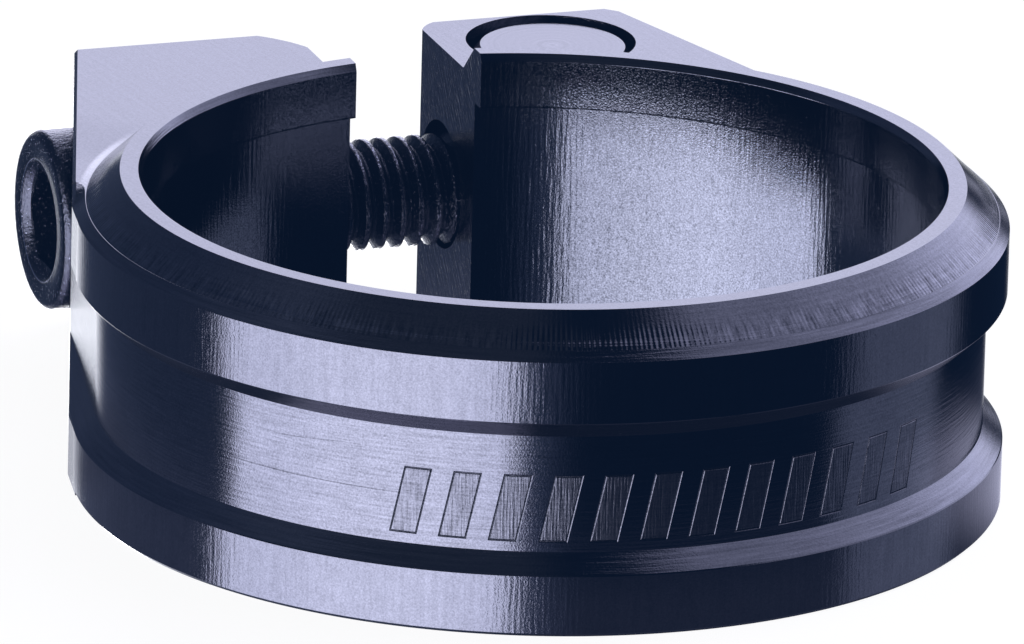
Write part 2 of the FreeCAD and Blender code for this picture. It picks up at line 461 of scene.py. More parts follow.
def smooth_turned(made, axes):
    """Exact normals on faces of a surface turned round one of the given axes; flat ones elsewhere."""
    mesh = made.data
    normals = [Vector((0, 0, 1))] * len(mesh.loops)
    for poly in mesh.polygons:
        n = poly.normal
        centre = poly.center
        chosen = None
        for point, direction in axes:
            away = centre - point
            along = direction * away.dot(direction)
            radial = away - along
            reach = radial.length
            if reach < TINY:
                continue
            radial.normalize()
            tangent = direction.cross(radial)
            if abs(n.dot(tangent)) > MOST_TANGENT or abs(n.dot(radial)) < LEAST_RADIAL:
                continue
            spread = max(abs((mesh.vertices[v].co - centre).dot(tangent)) for v in poly.vertices)
            if spread > WIDEST_FACE * reach:
                continue
            chosen = (point, direction, n.dot(radial), n.dot(direction))
            break
        for loop in poly.loop_indices:
            if chosen is None:
                normals[loop] = n.copy()
                continue
            point, direction, nr, na = chosen
            away = mesh.vertices[mesh.loops[loop].vertex_index].co - point
            radial = away - direction * away.dot(direction)
            normals[loop] = (radial.normalized() * nr + direction * na).normalized()
    for poly in mesh.polygons:
        poly.use_smooth = True
    mesh.normals_split_custom_set(normals)


def finish_mesh(made):
    made.data.transform(Matrix.Scale(MM, 4))
    made.data.update()


# Axes, each as a point on it and its direction
RING_AXIS = (Vector((0, 0, 0)), UP)
NUT_HOLE_AXIS = (Vector((NUT_HOLE_X, NUT_HOLE_Y, 0)), UP)
DRILL_AXIS = (Vector((0, BOLT_Y, DRILL_Z)), ACROSS)
BOLT_AXIS = (Vector((0, BOLT_Y, BOLT_Z)), ACROSS)
NUT_AXIS = (Vector((NUT_X, BOLT_Y, 0)), UP)


# Bolt
def head():
    """Rounded head with a hexagonal socket, down to the neck."""
    start = HEAD_FACE_X + FACE_SET_BACK
    corner_r = HEX_ACROSS / math.sqrt(3)
    rim = SOCKET_RIM_R - corner_r
    profile = [
        (0, start + rim),
        (SOCKET_RIM_R - rim, start + rim),
        (SOCKET_RIM_R - rim / 3, start + rim / 6),
        (SOCKET_RIM_R, start),
    ]
    for i in range(DOME_STEPS + 1):
        a = math.pi / 2 * i / DOME_STEPS
        profile.append((HEAD_R - HEAD_ROUND * (1 - math.sin(a)), start + HEAD_ROUND * (1 - math.cos(a))))
    profile += [
        (HEAD_R, BEARING_X - HEAD_UNDER_BEVEL),
        (HEAD_R - HEAD_UNDER_BEVEL, BEARING_X),
        (NECK_R, BEARING_X),
        (NECK_R, BEARING_X + NECK_L),
        (0, BEARING_X + NECK_L),
    ]
    made = turned("clamp_bolt_fine", profile, ROD_STEPS, "X", (0, BOLT_Y, BOLT_Z))
    corners = [Vector(polar(corner_r, math.radians(60 * i))) for i in range(6)]
    socket = []
    for i, here in enumerate(corners):
        for other in (corners[i - 1], corners[(i + 1) % 6]):
            socket.append(here + (other - here).normalized() * HEX_EASE)
    verts = [(start - CUT_OVERSHOOT, BOLT_Y + y, BOLT_Z + z) for y, z in socket]
    verts += [(start + HEX_DEPTH, BOLT_Y + y, BOLT_Z + z) for y, z in socket]
    verts.append((start + HEX_DEPTH + HEX_ACROSS / 4, BOLT_Y, BOLT_Z))
    count = len(socket)
    faces = [list(range(count))]
    for i in range(count):
        j = (i + 1) % count
        faces.append([i, j, count + j, count + i])
        faces.append([count + i, count + j, 2 * count])
    cutter = new_object("socket", verts, faces)
    outward(cutter)
    combine(made, cutter, "DIFFERENCE")
    return made


def thread():
    """The threaded shank: one ridge wound round the root cylinder, worn down to nothing at both ends."""
    start = BEARING_X + NECK_L / 2
    end = BEARING_X + BOLT_LENGTH

    def limit(x):
        """Largest radius at x: the neck at one end and the tip's chamfer at the other."""
        from_neck = THREAD_ROOT_R + (x - (BEARING_X + NECK_L)) * THREAD_RISE
        if x < BEARING_X + NECK_L:
            from_neck = NECK_R - THREAD_NECK_PLAY
        from_tip = THREAD_CREST_R - max(0.0, x - (end - TIP_CHAMFER))
        return min(from_neck, from_tip)

    turns = math.ceil((end - start) / THREAD_PITCH) + 1
    verts = []
    index = {}
    faces = []
    per_turn = len(THREAD_RIDGE)
    lines = turns * per_turn

    def vertex(line, step):
        """Vertex number; after a full turn a line runs on into the same line of the next ridge."""
        if step == THREAD_STEPS:
            line, step = line + per_turn, 0
        key = (line, step)
        if key not in index:
            a = 2 * math.pi * step / THREAD_STEPS
            turn, k = divmod(line, per_turn)
            share, height = THREAD_RIDGE[k]
            x = start + THREAD_PITCH * (turn - 1 + step / THREAD_STEPS + share)
            x = min(max(x, start), end)
            r = min(THREAD_ROOT_R + height, limit(x))
            index[key] = len(verts)
            verts.append((x, BOLT_Y + r * math.cos(a), BOLT_Z + r * math.sin(a)))
        return index[key]

    for line in range(lines + per_turn):
        for step in range(THREAD_STEPS):
            faces.append([
                vertex(line, step),
                vertex(line, step + 1),
                vertex(line + 1, step + 1),
                vertex(line + 1, step),
            ])
    made = new_object("thread", verts, faces)
    weld(made)
    work = bmesh.new()
    work.from_mesh(made.data)
    loose = [v for v in work.verts if not v.link_faces]
    bmesh.ops.delete(work, geom=loose, context="VERTS")
    open_edges = [e for e in work.edges if e.is_boundary]
    bmesh.ops.holes_fill(work, edges=open_edges, sides=0)
    bmesh.ops.recalc_face_normals(work, faces=work.faces)
    work.to_mesh(made.data)
    work.free()
    return made


def smooth_by_angle(made, degrees):
    for poly in made.data.polygons:
        poly.use_smooth = True
    made.data.set_sharp_from_angle(angle=math.radians(degrees))


# Barrel nut
def barrel_nut():
    low = NUT_RECESS
    high = SHOULDER_H - NUT_RECESS
    profile = [
        (0, low),
        (NUT_R - NUT_CHAMFER, low),
        (NUT_R, low + NUT_CHAMFER),
        (NUT_R, high - NUT_CHAMFER),
        (NUT_R - NUT_CHAMFER, high),
        (0, high),
    ]
    made = turned("barrel_nut_fine", profile, 2 * ROD_STEPS, "Z", (NUT_X, BOLT_Y, 0))
    hole = [
        (0, NUT_X - 2 * NUT_R),
        (NUT_THREAD_R, NUT_X - 2 * NUT_R),
        (NUT_THREAD_R, NUT_X + 2 * NUT_R),
        (0, NUT_X + 2 * NUT_R),
    ]
    combine(made, turned("nut_thread", hole, ROD_STEPS, "X", (0, BOLT_Y, BOLT_Z)), "DIFFERENCE")
    weld(made)
    return made


# Nodes
class Graph:
    """Small helper that wires math nodes; a number or a socket may be given for each input."""

    def __init__(self, tree):
        self.tree = tree

    def node(self, kind, **settings):
        made = self.tree.nodes.new(kind)
        for key, value in settings.items():
            setattr(made, key, value)
        return made

    def feed(self, socket, value):
        if isinstance(value, bpy.types.NodeSocket):
            self.tree.links.new(value, socket)
        else:
            socket.default_value = value

    def math(self, operation, *values):
        made = self.node("ShaderNodeMath", operation=operation)
        for socket, value in zip(made.inputs, values):
            self.feed(socket, value)
        return made.outputs[0]

    def ramp(self, value, low, high, out_low=0.0, out_high=1.0):
        """Smooth step from out_low to out_high as value goes from low to high."""
        made = self.node("ShaderNodeMapRange", interpolation_type="SMOOTHSTEP")
        self.feed(made.inputs["Value"], value)
        limits = {"From Min": low, "From Max": high, "To Min": out_low, "To Max": out_high}
        for key, number in limits.items():
            self.feed(made.inputs[key], number)
        return made.outputs["Result"]

    def vector(self, x, y, z):
        made = self.node("ShaderNodeCombineXYZ")
        for socket, value in zip(made.inputs, (x, y, z)):
            self.feed(socket, value)
        return made.outputs[0]

    def window(self, value, low, high, soft_low, soft_high):
        """One between low and high, falling softly to zero over the given widths."""
        rise = self.ramp(value, low - soft_low / 2, low + soft_low / 2)
        fall = self.ramp(value, high - soft_high / 2, high + soft_high / 2, 1.0, 0.0)
        return self.times(rise, fall)

    def noise(self, vector, scale, detail=2.0, roughness=0.5):
        made = self.node("ShaderNodeTexNoise")
        self.feed(made.inputs["Vector"], vector)
        self.feed(made.inputs["Scale"], scale)
        self.feed(made.inputs["Detail"], detail)
        self.feed(made.inputs["Roughness"], roughness)
        return made.outputs["Fac"]

    def scaled(self, vector, factor):
        """Vector or colour times a factor."""
        made = self.node("ShaderNodeVectorMath", operation="SCALE")
        self.feed(made.inputs[0], vector)
        self.feed(made.inputs["Scale"], factor)
        return made.outputs[0]

    def sum(self, vector, other):
        """Sum of two vectors or colours."""
        made = self.node("ShaderNodeVectorMath", operation="ADD")
        self.feed(made.inputs[0], vector)
        self.feed(made.inputs[1], other)
        return made.outputs[0]

    def parts(self, vector):
        made = self.node("ShaderNodeSeparateXYZ")
        self.feed(made.inputs[0], vector)
        return made.outputs

    def length(self, x, y):
        return self.math("SQRT", self.add(self.times(x, x), self.times(y, y)))

    def add(self, *values):
        total = values[0]
        for value in values[1:]:
            total = self.math("ADD", total, value)
        return total

    def times(self, *values):
        total = values[0]
        for value in values[1:]:
            total = self.math("MULTIPLY", total, value)
        return total


# Studio, as patches of the sky: bearings from the camera and elevations in degrees. Each soft box has its
# bearings, the widths of its soft sides, its elevations, the widths of its soft lower and upper edges, and
# its colour.
BOX_ELEVATIONS = (-50.0, 14.0)
BOX_EDGES = (10.0, 12.0)
WALL_LOW_ELEVATIONS = (-36.0, -12.0)
WALL_LOW_EDGES = (16.0, 5.0)
SOFT_BOXES = (
    # Large box to the left of the camera, its brighter middle, its weak tail and its lower end
    ((-84.0, -5.6), (5.0, 5.0), BOX_ELEVATIONS, BOX_EDGES, (3.65, 3.75, 4.6)),
    ((-60.0, -18.0), (24.0, 22.0), BOX_ELEVATIONS, BOX_EDGES, (0.5, 0.5, 0.5)),
    ((-5.6, 3.0), (6.0, 16.0), BOX_ELEVATIONS, BOX_EDGES, (0.14, 0.17, 0.28)),
    ((-92.0, -8.0), (5.0, 16.0), (-78.0, -50.0), (10.0, 10.0), (1.9, 1.85, 2.6)),
    # Bright spots on the wall behind: a low one that the left lug's flank sees, and a weak one above it
    ((-181.0, -172.5), (1.0, 7.0), WALL_LOW_ELEVATIONS, WALL_LOW_EDGES, (9.0, 9.0, 9.3)),
    ((-179.0, -171.0), (3.0, 4.0), (5.0, 15.0), (4.0, 3.0), (0.7, 0.7, 0.8)),
    # Weak light from above on the left, weak low light on the right
    ((-110.0, 5.0), (30.0, 30.0), (30.0, 95.0), (20.0, 1.0), (0.055, 0.058, 0.066)),
    ((84.0, 124.0), (8.0, 10.0), (-34.0, -4.0), (10.0, 8.0), (0.29, 0.32, 0.45)),
    # Left side a little less dark than the rest, round to the back
    ((-170.0, -86.0), (12.0, 20.0), (-90.0, 90.0), (1.0, 1.0), (0.06, 0.072, 0.115)),
)

# White wall behind, brighter above the horizon than below; a bearing past 180 degrees is never reached, so
# the lower half's right edge stays soft up to the middle
WALL_RIGHT_EDGE = (160.0, 176.0)
WALL_LEFT_EDGE = (-166.0, -169.0)
WALL_HIGH = ((-5.0, 52.0), (5.0, 20.0))
WALL_COLOUR = (1.82, 1.84, 2.36)
WALL_LOW_RIGHT_EDGE = (168.0, 183.0)
WALL_LOW_LEFT_EDGE = (-153.0, -165.0)
WALL_LOW = ((-36.0, -5.0), (16.0, 5.0))
WALL_LOW_COLOUR = (1.1, 1.12, 1.2)

# Overhead light on the right, in steps that grow towards the back: bearings between which each rises, and
# its height; it ends at a last pair of bearings, and at an elevation just above the horizon
OVERHEAD_STEPS = ((54.0, 78.0, 0.66), (95.0, 112.0, 0.32), (116.0, 140.0, 0.95))
OVERHEAD_END = (149.0, 160.0)
OVERHEAD_REST = 0.04
OVERHEAD_HORIZON = (-2.0, 8.0)
OVERHEAD_COLOUR = (1.0, 1.02, 1.38)

DARK = (0.004, 0.008, 0.02)
BLACK_LIFT = (0.0021, 0.0060, 0.0176)
SECOND_BOUNCE = 0.65
SECOND_BOUNCE_DEPTH = (1.2, 1.8)


def add_world():
    """Soft boxes, a white wall and an overhead light in dark surroundings; the camera itself sees white.

    A ray that has met the metal more than once sees them all a little dimmer.
    """
    world = bpy.data.worlds.new("studio")
    bpy.context.scene.world = world
    world.use_nodes = True
    tree = world.node_tree
    tree.nodes.clear()
    g = Graph(tree)
    x, y, z = g.parts(g.node("ShaderNodeTexCoord").outputs["Generated"])
    c, s = math.cos(VIEW_TURN), math.sin(VIEW_TURN)
    across = g.add(g.times(x, c), g.times(y, -s))
    deep = g.add(g.times(x, s), g.times(y, c))
    to_degrees = 180 / math.pi
    az = g.times(g.math("ARCTAN2", across, g.times(deep, -1.0)), to_degrees)
    el = g.times(g.math("ARCSINE", z), to_degrees)

    total = DARK
    for bearings, sides, elevations, edges, colour in SOFT_BOXES:
        mask = g.times(g.window(az, *bearings, *sides), g.window(el, *elevations, *edges))
        total = g.sum(total, g.scaled(colour, mask))

    for right_edge, left_edge, (elevations, edges), colour in (
        (WALL_RIGHT_EDGE, WALL_LEFT_EDGE, WALL_HIGH, WALL_COLOUR),
        (WALL_LOW_RIGHT_EDGE, WALL_LOW_LEFT_EDGE, WALL_LOW, WALL_LOW_COLOUR),
    ):
        behind = g.add(g.ramp(az, *right_edge), g.ramp(az, *left_edge))
        total = g.sum(total, g.scaled(colour, g.times(behind, g.window(el, *elevations, *edges))))

    overhead = g.add(*[g.ramp(az, low, high, 0.0, height) for low, high, height in OVERHEAD_STEPS])
    ending = g.ramp(az, *OVERHEAD_END, 1.0, OVERHEAD_REST)
    overhead = g.times(overhead, ending, g.ramp(el, *OVERHEAD_HORIZON))
    total = g.sum(total, g.scaled(OVERHEAD_COLOUR, overhead))

    path = g.node("ShaderNodeLightPath").outputs
    lit = g.node("ShaderNodeBackground")
    g.feed(lit.inputs["Color"], total)
    g.feed(lit.inputs["Strength"], g.ramp(path["Glossy Depth"], *SECOND_BOUNCE_DEPTH, 1.0, SECOND_BOUNCE))
    plain = g.node("ShaderNodeBackground")
    plain.inputs["Color"].default_value = (1.0, 1.0, 1.0, 1.0)
    chooser = g.node("ShaderNodeMixShader")
    g.feed(chooser.inputs["Fac"], path["Is Camera Ray"])
    g.feed(chooser.inputs[1], lit.outputs[0])
    g.feed(chooser.inputs[2], plain.outputs[0])
    out = g.node("ShaderNodeOutputWorld")
    g.feed(out.inputs["Surface"], chooser.outputs[0])


FLOOR_R = 0.6
FLOOR_STEPS = 96
FLOOR_DROP = 0.00002
FLOOR_GREY = 0.2
FLOOR_LIGHT = 0.93


def add_floor():
    """A pale round floor, in metres; reflections pass it, so the metal sees the studio below the horizon."""
    verts = [(*polar(FLOOR_R, 2 * math.pi * i / FLOOR_STEPS), 0) for i in range(FLOOR_STEPS)]
    floor = new_object("floor", verts, [list(range(FLOOR_STEPS))])
    floor.location.z = -FLOOR_DROP
    floor.visible_glossy = False
    floor.visible_shadow = False
    material = bpy.data.materials.new("pale_floor")
    material.use_nodes = True
    shader = material.node_tree.nodes["Principled BSDF"]
    shader.inputs["Base Color"].default_value = (FLOOR_GREY, FLOOR_GREY, FLOOR_GREY, 1.0)
    shader.inputs["Roughness"].default_value = 0.9
    shader.inputs["Specular IOR Level"].default_value = 0.0
    shader.inputs["Emission Color"].default_value = (1.0, 1.0, 1.0, 1.0)
    shader.inputs["Emission Strength"].default_value = FLOOR_LIGHT
    floor.data.materials.append(material)


# Glow on the floor, in metres: a spot on the ring's right, a shade on its left and a rim all round it
GLOW_HALF = 0.1
GLOW_DROP = 0.00001
GLOW_COLOUR = (0.95, 0.95, 1.3, 1.0)
SPOT_AT = from_view(23.0, 1.0, 0.0) * MM
SPOT_FADE = (0.001, 0.0115)
SPOT_LIGHT = 0.5
SHADE_AT = from_view(-20.5, 3.0, 0.0) * MM
SHADE_FADE = (0.0035, 0.008)
SHADE_PASS = 0.55
RIM_FADE = (0.021, 0.034)
RIM_LIGHT = 0.065


def add_glow():
    """Weak light off the floor close to the ring, seen only in the metal; strongest on the right.

    On the left it dims what the metal sees through it instead.
    """
    half = GLOW_HALF
    verts = [(x, y, 0) for x, y in ((-half, -half), (half, -half), (half, half), (-half, half))]
    glow = new_object("floor_glow", verts, [(0, 1, 2, 3)])
    glow.location.z = -GLOW_DROP
    glow.visible_camera = False
    glow.visible_shadow = False
    glow.visible_diffuse = False
    material = bpy.data.materials.new("floor_glow")
    material.use_nodes = True
    material.node_tree.nodes.clear()
    g = Graph(material.node_tree)
    x, y, _ = g.parts(g.node("ShaderNodeTexCoord").outputs["Object"])
    r = g.length(x, y)
    to_spot = g.length(g.add(x, -SPOT_AT.x), g.add(y, -SPOT_AT.y))
    to_shade = g.length(g.add(x, -SHADE_AT.x), g.add(y, -SHADE_AT.y))
    spot = g.ramp(to_spot, *SPOT_FADE, SPOT_LIGHT, 0.0)
    shade = g.ramp(to_shade, *SHADE_FADE, SHADE_PASS, 1.0)
    rim = g.times(g.ramp(r, *RIM_FADE, RIM_LIGHT, 0.0), g.math("GREATER_THAN", r, TUBE_R * MM))
    light = g.node("ShaderNodeEmission")
    light.inputs["Color"].default_value = GLOW_COLOUR
    g.feed(light.inputs["Strength"], g.add(spot, rim))
    both = g.node("ShaderNodeAddShader")
    clear = g.node("ShaderNodeBsdfTransparent")
    g.feed(clear.inputs["Color"], shade)
    g.feed(both.inputs[0], clear.outputs[0])
    g.feed(both.inputs[1], light.outputs[0])
    g.feed(g.node("ShaderNodeOutputMaterial").inputs["Surface"], both.outputs[0])
    glow.data.materials.append(material)


# Materials. Scales of noise are in marks per millimetre, slopes are the usual tilt of the surface, and swings
# are the usual share by which a colour turns lighter or darker.
ANODISED = (0.12, 0.121, 0.14)
REAMED = (0.095, 0.098, 0.113)
STEEL = (0.06, 0.062, 0.075)
WORN_STEEL = (0.5, 0.5, 0.58)
GRAIN = 13.0
NOISE_SWING = 0.1
NOISE_ROUGHNESS = 0.6


def metal(name, colour, roughness):
    """A dark mirror-like metal; returns the material, its graph, its shader and its place in millimetres."""
    material = bpy.data.materials.new(name)
    material.use_nodes = True
    shader = material.node_tree.nodes["Principled BSDF"]
    shader.inputs["Metallic"].default_value = 1.0
    shader.inputs["Base Color"].default_value = (*colour, 1.0)
    shader.inputs["Roughness"].default_value = roughness
    g = Graph(material.node_tree)
    point = g.scaled(g.node("ShaderNodeTexCoord").outputs["Object"], 1 / MM)
    return material, g, shader, point, g.parts(point)


def around(g, x, y):
    """Distance round the ring from the front, in millimetres."""
    return g.times(g.math("ARCTAN2", x, g.times(y, -1.0)), OUTER_R)


def upright(g, s, z, share, seed):
    """Where noise is read for marks that run along z: it changes there at a share of its pace."""
    return g.vector(s, g.times(z, share), seed)


def level(g, s, z, share, seed):
    """Where noise is read for marks that run along s."""
    return g.vector(g.times(s, share), z, seed)


def wave(g, vector, scale, swing, detail=2.0):
    """Noise about zero; swing is its usual size."""
    return g.times(g.add(g.noise(vector, scale, detail, NOISE_ROUGHNESS), -0.5), swing / NOISE_SWING)


def roughening(g, vector, scale, slope, detail=2.0):
    """Noise as a height whose usual tilt is the given slope."""
    height = slope / (2 * math.pi * scale * NOISE_SWING)
    return g.times(g.noise(vector, scale, detail, NOISE_ROUGHNESS), height)


def ribs(g, s, z, pitch, slope):
    """Upright chatter marks whose spacing and depth wander; slope is the usual tilt of the surface."""
    drift = g.noise(g.vector(g.times(s, 0.8), g.times(z, 0.3), 3.0), 1.0)
    phase = g.add(g.times(s, 2 * math.pi / pitch), g.times(drift, 2 * math.pi))
    depth = g.noise(g.vector(g.times(s, 0.5 / pitch), g.times(z, 0.15), 7.0), 1.0)
    return g.times(g.math("SINE", phase), depth, 2 * slope * pitch / (2 * math.pi))


def bump(g, shader, *heights):
    """Bump by the sum of the heights, in millimetres."""
    made = g.node("ShaderNodeBump")
    made.inputs["Distance"].default_value = MM
    g.feed(made.inputs["Height"], g.add(*heights))
    g.feed(shader.inputs["Normal"], made.outputs[0])


def tint(g, shader, colour, *waves):
    """Base colour made lighter and darker by the sum of the waves, each a share of it."""
    g.feed(shader.inputs["Base Color"], g.scaled(colour, g.add(1.0, *waves)))


def band_material():
    """Outer faces: upright chatter under a fine sandy grain."""
    material, g, shader, point, (x, y, z) = metal("anodised_band", ANODISED, roughness=0.1)
    s = around(g, x, y)
    tint(
        g, shader, ANODISED,
        wave(g, upright(g, s, z, share=0.05, seed=1.0), scale=5.0, swing=0.04),
        wave(g, point, scale=1.6, swing=0.03, detail=3.0),
        wave(g, point, scale=GRAIN, swing=0.1),
    )
    bump(
        g, shader,
        ribs(g, s, z, pitch=0.24, slope=0.011),
        roughening(g, upright(g, s, z, share=0.1, seed=9.0), scale=5.0, slope=0.02),
        roughening(g, point, scale=GRAIN, slope=0.04),
    )
    return material


# Row of slanted bars in the groove
MOTIF_HALF = 13.0
MOTIF_BARS = 12
MOTIF_BAR_W = 1.15
MOTIF_LOW = 3.85
MOTIF_HIGH = 6.65
MOTIF_SLANT = 0.22
MOTIF_LINE = 0.05
MOTIF_DEPTH = 0.03


def motif(g, s, z):
    """Masks of a plain row of outlined slanted bars: their outlines and their insides."""
    middle = (MOTIF_LOW + MOTIF_HIGH) / 2
    pitch = 2 * MOTIF_HALF / MOTIF_BARS
    height = g.add(z, -middle)
    along = g.add(s, g.times(height, -MOTIF_SLANT))
    place = g.math("FRACT", g.times(g.add(along, MOTIF_HALF), 1 / pitch))
    from_bar = g.add(g.times(g.math("ABSOLUTE", g.add(place, -0.5)), pitch), -MOTIF_BAR_W / 2)
    from_row = g.add(g.math("ABSOLUTE", height), (MOTIF_LOW - MOTIF_HIGH) / 2)
    distance = g.math("MAXIMUM", from_bar, from_row)
    row = g.math("LESS_THAN", g.math("ABSOLUTE", along), MOTIF_HALF)
    outline = g.times(row, g.ramp(g.math("ABSOLUTE", distance), 0.0, MOTIF_LINE, 1.0, 0.0))
    inside = g.times(row, g.ramp(distance, 0.0, -MOTIF_LINE))
    return outline, inside


def scratch(g, s, z, start, end, height, rise, width):
    """Mask of one thin line along the groove, which leaves its first height at a slope."""
    off = g.math("ABSOLUTE", g.add(z, -height, g.times(g.add(s, -start), -rise)))
    return g.times(g.ramp(off, 0.0, width, 1.0, 0.0), g.window(s, start, end, 1.0, 1.0))


def groove_material():
    """Groove's floor: sandy grain, fine lines that run with the groove, two scratches and the row of bars."""
    material, g, shader, point, (x, y, z) = metal("anodised_groove", ANODISED, roughness=0.1)
    s = around(g, x, y)
    outline, inside = motif(g, s, z)
    engraved = upright(g, s, z, share=0.07, seed=6.0)
    long_mark = scratch(g, s, z, start=-21.5, end=-12.6, height=5.52, rise=0.0, width=0.05)
    short_mark = scratch(g, s, z, start=-18.3, end=-15.2, height=7.08, rise=0.076, width=0.045)
    tint(
        g, shader, ANODISED,
        wave(g, level(g, s, z, share=0.04, seed=2.0), scale=10.0, swing=0.1, detail=3.0),
        wave(g, point, scale=GRAIN, swing=0.13),
        wave(g, point, scale=1.2, swing=0.03, detail=3.0),
        g.times(long_mark, -0.5),
        g.times(short_mark, -0.4),
        g.times(outline, -0.6),
        g.times(inside, g.add(-0.12, wave(g, engraved, scale=9.0, swing=0.14))),
    )
    g.feed(shader.inputs["Roughness"], g.add(0.1, g.times(inside, 0.2), g.times(outline, 0.1)))
    hatch = g.add(
        ribs(g, s, z, pitch=0.14, slope=0.04),
        roughening(g, engraved, scale=9.0, slope=0.1),
    )
    bump(
        g, shader,
        roughening(g, point, scale=GRAIN, slope=0.035),
        roughening(g, level(g, s, z, share=0.04, seed=5.0), scale=8.0, slope=0.05),
        g.times(hatch, inside),
        g.times(outline, -MOTIF_DEPTH),
    )
    return material


def wall_material():
    """Slanted walls of the groove, the chamfers and the lugs' outer flanks: fine lines that run round."""
    material, g, shader, point, (x, y, z) = metal("anodised_walls", ANODISED, roughness=0.12)
    s = around(g, x, y)
    tint(
        g, shader, ANODISED,
        wave(g, level(g, s, z, share=0.03, seed=2.0), scale=9.0, swing=0.12, detail=3.0),
        wave(g, point, scale=11.0, swing=0.07),
    )
    bump(
        g, shader,
        roughening(g, level(g, s, z, share=0.03, seed=5.0), scale=8.0, slope=0.05),
        roughening(g, point, scale=12.0, slope=0.03),
    )
    return material


# Radii between which the cone's ticks deepen, and between which its foot grows coarser
TICKS_DEEPEN = (18.05, 18.7)
FOOT_COARSENS = (18.65, 18.95)


def cone_material():
    """Upper cone: chatter ticks that deepen outwards, and fine lines round the axis, coarser at the foot."""
    material, g, shader, point, (x, y, z) = metal("anodised_cone", ANODISED, roughness=0.1)
    s = around(g, x, y)
    r = g.length(x, y)
    deepening = g.ramp(r, *TICKS_DEEPEN, out_low=0.12)
    foot = g.ramp(r, *FOOT_COARSENS)
    rings = level(g, s, r, share=0.02, seed=2.0)
    ticks = wave(g, upright(g, s, r, share=0.25, seed=4.0), scale=5.0, swing=0.22)
    tint(
        g, shader, ANODISED,
        wave(g, rings, scale=9.0, swing=0.06, detail=3.0),
        wave(g, point, scale=12.0, swing=0.12),
        g.times(ticks, deepening),
    )
    bump(
        g, shader,
        g.times(ribs(g, s, g.times(z, 0.3), pitch=0.22, slope=0.07), deepening),
        roughening(g, rings, scale=8.0, slope=0.006),
        g.times(roughening(g, rings, scale=5.0, slope=0.07), foot),
        roughening(g, point, scale=GRAIN, slope=0.02),
    )
    return material


# Painted sheen in the bore, a painted highlight that lightens its colour: its span round the ring, the span's
# soft sides, and the heights between which it grows from one share to another
PAINTED_SHEEN_SPAN = (36.0, 49.0)
PAINTED_SHEEN_SIDES = (8.0, 6.0)
PAINTED_SHEEN_GROWS = (8.5, 10.8)
PAINTED_SHEEN_SHARES = (0.22, 0.5)

# Lip in the bore: where it starts, the painted shadow line at its foot and the painted shade that darkens it
# upwards
LIP_STARTS = (LIP_BOTTOM - 0.02, LIP_BOTTOM + 0.01)
LIP_SHADOW_LINE = (LIP_BOTTOM + 0.05, LIP_BOTTOM + 0.09)
LIP_PAINTED_SHADE = (LIP_BOTTOM + 0.2, RING_H - 0.8)


def bore_material():
    """Inside of the ring: reamed, with upright marks, a blotchy painted sheen (painted highlight) and a
    speckled lip with painted shade.
    """
    material, g, shader, point, (x, y, z) = metal("anodised_bore", ANODISED, roughness=0.08)
    s = around(g, x, y)
    lip = g.ramp(z, *LIP_STARTS)
    below_lip = g.add(1.0, g.times(lip, -1.0))
    # painted sheen: a painted highlight that lightens the bore's colour over one span below the lip
    painted_sheen = g.times(g.window(s, *PAINTED_SHEEN_SPAN, *PAINTED_SHEEN_SIDES), g.ramp(z, *PAINTED_SHEEN_GROWS, *PAINTED_SHEEN_SHARES))
    speckle = wave(g, point, scale=14.0, swing=0.26)
    stains = g.ramp(g.noise(point, 2.2, 5.0, 0.75), 0.58, 0.66, 0.0, -0.3)
    tint(
        g, shader, REAMED,
        wave(g, upright(g, s, z, share=0.08, seed=1.0), scale=4.0, swing=0.035, detail=3.0),
        wave(g, point, scale=1.1, swing=0.03, detail=3.0),
        g.times(speckle, g.add(1.0, g.times(lip, 0.5))),
        stains,
        # painted shadow: a dark line at the lip's foot
        g.times(lip, g.ramp(z, *LIP_SHADOW_LINE, -0.9, 0.0)),
        # painted shade: the lip darker towards its top
        g.times(lip, g.ramp(z, *LIP_PAINTED_SHADE, 0.0, -0.5)),
        # painted highlight (painted sheen) below the lip
        g.times(painted_sheen, below_lip),
    )
    bump(
        g, shader,
        ribs(g, s, z, pitch=0.26, slope=0.012),
        roughening(g, upright(g, s, z, share=0.12, seed=9.0), scale=4.0, slope=0.02),
        roughening(g, point, scale=GRAIN, slope=0.028),
        g.times(roughening(g, point, scale=12.0, slope=0.03), lip),
    )
    return material


# Turning tool's run-out on the left lug: its radii, its drop, its bearings in degrees and their soft ends
TOOL_EDGE = (18.95, 19.5)
TOOL_EDGE_DROP = 0.075
TOOL_BEARINGS = (-130.0, -100.0)
TOOL_ENDS = (18.0, 4.0)


def top_material():
    """Level faces: faint milling marks from front to back, and the turning tool's bright run-out."""
    material, g, shader, point, (x, y, z) = metal("anodised_tops", ANODISED, roughness=0.12)
    bearing = g.times(g.math("ARCTAN2", x, g.times(y, -1.0)), 180 / math.pi)
    run_out = g.ramp(g.length(x, y), *TOOL_EDGE, 0.0, -TOOL_EDGE_DROP)
    strokes = g.vector(g.add(x, g.times(y, 0.16)), g.times(y, 0.03), z)
    tint(
        g, shader, ANODISED,
        wave(g, strokes, scale=5.0, swing=0.02),
        wave(g, point, scale=GRAIN, swing=0.09),
        g.ramp(g.noise(point, 1.6, 3.0, 0.7), 0.6, 0.75, 0.0, -0.1),
    )
    bump(
        g, shader,
        roughening(g, strokes, scale=5.0, slope=0.008),
        g.times(run_out, g.window(bearing, *TOOL_BEARINGS, *TOOL_ENDS)),
    )
    return material


MILLED_DARKER = -0.25


